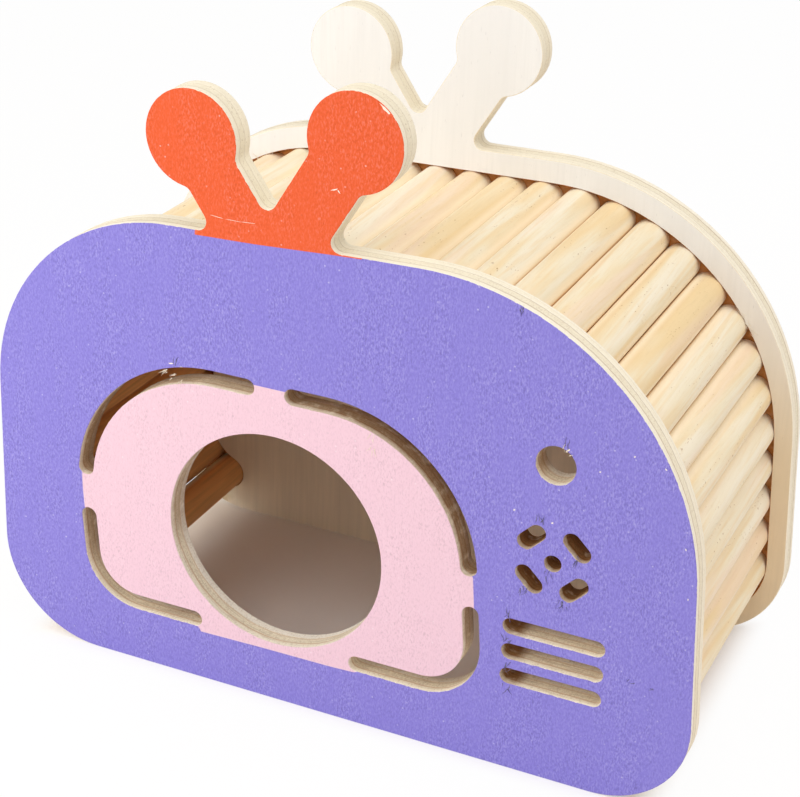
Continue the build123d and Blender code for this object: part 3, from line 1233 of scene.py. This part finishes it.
class RODENTHOUSE_OT_fibres(bpy.types.Operator):
    """Raise the wood fibres that the cutter left round the slots and in the rear groove"""

    bl_idname = "rodent_house.fibres"
    bl_label = "Raised fibres"

    def execute(self, context):
        wear = context.scene.rodent_house_wear
        dice = random.Random(FIBRE_SEED)
        painted, bare = bmesh.new(), bmesh.new()
        add_tufts(painted, PAINTED_TUFTS, FRONT_FACE, SPREAD_IN_PAINT, wear, dice)
        add_tufts(bare, RIM_TUFTS, FRONT_FACE, SPREAD_ON_RIM, wear, dice)
        add_tufts(bare, GROOVE_TUFTS, REAR_INNER_FACE, SPREAD_IN_GROOVE, wear, dice)
        for mesh in (painted, bare):
            bmesh.ops.recalc_face_normals(mesh, faces=mesh.faces)
        dark = fibre_wood("painted_fibre", wear.painted_fibre)
        pale = fibre_wood("bare_fibre", wear.pale_fibre)
        add_piece("painted_fibres", painted, [dark], "painted_front")
        add_piece("bare_fibres", bare, [pale], "bare_rod")
        return {"FINISHED"}


# Stage

FLOOR_SIZE, FLOOR_SQUARES = 4.0, 8
WHITE_SHARE = 0.95
SHADOW_EDGE_INSET = 10.0
SHADOW_ENDS, WHITE_STARTS = -7.0, 6.0
SENSOR_WIDTH = 36.0
NEAREST_SEEN, FARTHEST_SEEN = 0.01, 50.0
LAMP_TARGET = Vector((0.0, 0.0, 0.08))

# Each lamp, named like its power in the stage settings, has its place and the length of its sides
LAMPS = {
    "key": ((-0.29, -0.28, 0.24), 0.25),
    "top": ((0.30, -0.10, 1.00), 0.7),
    "high": ((0.0, -0.80, 0.95), 0.5),
}


def area_lamp(name, watts):
    """Square soft lamp, turned to the house."""
    place, size = LAMPS[name]
    data = bpy.data.lights.new(f"{name}_lamp", "AREA")
    data.size = size
    data.energy = watts
    lamp = add_object(f"{name}_lamp", data)
    lamp.location = place
    lamp.rotation_euler = (Vector(place) - LAMP_TARGET).to_track_quat("Z", "Y").to_euler()


def clear_rays(tree):
    """1 for rays from the camera, a mirror or glass, and 0 for rays that light the house."""
    rays = tree.nodes.new("ShaderNodeLightPath")
    seen = rays.outputs["Is Camera Ray"]
    for name in ("Is Glossy Ray", "Is Transmission Ray"):
        largest = tree.nodes.new("ShaderNodeMath")
        largest.operation = "MAXIMUM"
        tree.links.new(seen, largest.inputs[0])
        tree.links.new(rays.outputs[name], largest.inputs[1])
        seen = largest.outputs[0]
    return seen


def pale_floor(rgb):
    """Wide floor that looks plain white away from the house and keeps the shadow beside it."""
    recipe = Recipe("pale_floor", roughness=0.9, specular=0.0)
    place = recipe.millimetres()
    grain = recipe.noise(place, 0.8)
    recipe.finish(recipe.ramp(grain, [(0.3, shade(rgb, 0.995)), (0.7, shade(rgb))]))
    half_width = CAD_BOX[1].x / MM - SHADOW_EDGE_INSET
    half_depth = CAD_BOX[1].y / MM
    beyond = [
        recipe.math("SUBTRACT", recipe.math("ABSOLUTE", recipe.parts(place)[axis]), half)
        for axis, half in (("X", half_width), ("Y", half_depth))
    ]
    away = recipe.band(recipe.math("MAXIMUM", *beyond), SHADOW_ENDS, WHITE_STARTS)
    share = recipe.times(away, WHITE_SHARE, clear_rays(recipe.tree))
    white = recipe.add("Emission")
    blend = recipe.add("MixShader")
    recipe.feed(blend.inputs[0], share)
    recipe.feed(blend.inputs[1], recipe.shader.outputs[0])
    recipe.feed(blend.inputs[2], white.outputs[0])
    recipe.feed(recipe.tree.nodes["Material Output"].inputs["Surface"], blend.outputs[0])

    mesh = bmesh.new()
    bmesh.ops.create_grid(
        mesh, x_segments=FLOOR_SQUARES, y_segments=FLOOR_SQUARES, size=FLOOR_SIZE / 2
    )
    floor = mesh_object("floor", mesh, [recipe.material])


def white_world(strength):
    """Even light all round; what the camera sees of it is plain white."""
    world = bpy.data.worlds.new("studio")
    world.use_nodes = True
    bpy.context.scene.world = world
    tree = world.node_tree
    background = tree.nodes["Background"]
    level = tree.nodes.new("ShaderNodeMapRange")
    level.inputs["To Min"].default_value = strength
    level.inputs["To Max"].default_value = 1.0
    tree.links.new(clear_rays(tree), level.inputs["Value"])
    tree.links.new(level.outputs[0], background.inputs["Strength"])
    background.inputs["Color"].default_value = shade(WHITE)


def add_camera(stage):
    """Camera at the place, angle and roll of the photograph."""
    azimuth, elevation, roll = stage.camera_azimuth, stage.camera_elevation, stage.camera_roll
    back = Vector((
        math.sin(azimuth) * math.cos(elevation),
        -math.cos(azimuth) * math.cos(elevation),
        math.sin(elevation),
    ))
    level_right = Vector((math.cos(azimuth), math.sin(azimuth), 0.0))
    level_up = back.cross(level_right)
    right = level_right * math.cos(roll) + level_up * math.sin(roll)
    up = level_up * math.cos(roll) - level_right * math.sin(roll)
    data = bpy.data.cameras.new("camera")
    data.lens = stage.camera_lens
    data.sensor_width = SENSOR_WIDTH
    data.clip_start = NEAREST_SEEN
    data.clip_end = FARTHEST_SEEN
    camera = add_object("camera", data)
    turn = Matrix((right, up, back)).transposed()
    camera.matrix_world = Matrix.Translation(stage.camera_place) @ turn.to_4x4()
    bpy.context.scene.camera = camera


class RODENTHOUSE_OT_stage(bpy.types.Operator):
    """Set the floor, the lamps and the camera"""

    bl_idname = "rodent_house.stage"
    bl_label = "Stage"

    def execute(self, context):
        stage = context.scene.rodent_house_stage
        context.scene.view_settings.view_transform = "Standard"
        pale_floor(stage.floor)
        white_world(stage.sky)
        for name in LAMPS:
            area_lamp(name, getattr(stage, name))
        add_camera(stage)
        return {"FINISHED"}


# Sidebar, registration and the run itself

OPERATORS = (
    RODENTHOUSE_OT_stage,
    RODENTHOUSE_OT_front_panel,
    RODENTHOUSE_OT_rear_panel,
    RODENTHOUSE_OT_rods,
    RODENTHOUSE_OT_fibres,
)


class RODENTHOUSE_PT_sidebar(bpy.types.Panel):
    """Sidebar with every step and its settings"""

    bl_idname = "RODENTHOUSE_PT_sidebar"
    bl_label = "Rodent house"
    bl_space_type = "VIEW_3D"
    bl_region_type = "UI"
    bl_category = "Rodent house"

    def draw(self, context):
        for operator in OPERATORS:
            self.layout.operator(operator.bl_idname)
        for name in SETTINGS:
            settings = getattr(context.scene, name)
            box = self.layout.box()
            for key in settings.bl_rna.properties.keys():
                if key not in ("rna_type", "name"):
                    box.prop(settings, key)


SETTINGS = {
    "rodent_house_paint": RodentHousePaint,
    "rodent_house_plywood": RodentHousePlywood,
    "rodent_house_rods": RodentHouseRods,
    "rodent_house_wear": RodentHouseWear,
    "rodent_house_stage": RodentHouseStage,
}


def register():
    for name, group in SETTINGS.items():
        bpy.utils.register_class(group)
        setattr(bpy.types.Scene, name, PointerProperty(type=group))
    for operator in OPERATORS:
        bpy.utils.register_class(operator)
    bpy.utils.register_class(RODENTHOUSE_PT_sidebar)


def unregister():
    bpy.utils.unregister_class(RODENTHOUSE_PT_sidebar)
    for operator in reversed(OPERATORS):
        bpy.utils.unregister_class(operator)
    for name, group in reversed(SETTINGS.items()):
        delattr(bpy.types.Scene, name)
        bpy.utils.unregister_class(group)


def main():
    """Register the add-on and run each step."""
    register()
    for operator in OPERATORS:
        group, step = operator.bl_idname.split(".")
        result = getattr(getattr(bpy.ops, group), step)()
        if result != {"FINISHED"}:
            raise RuntimeError(f"{operator.bl_label} did not finish")


if __name__ == "__main__":
    main()
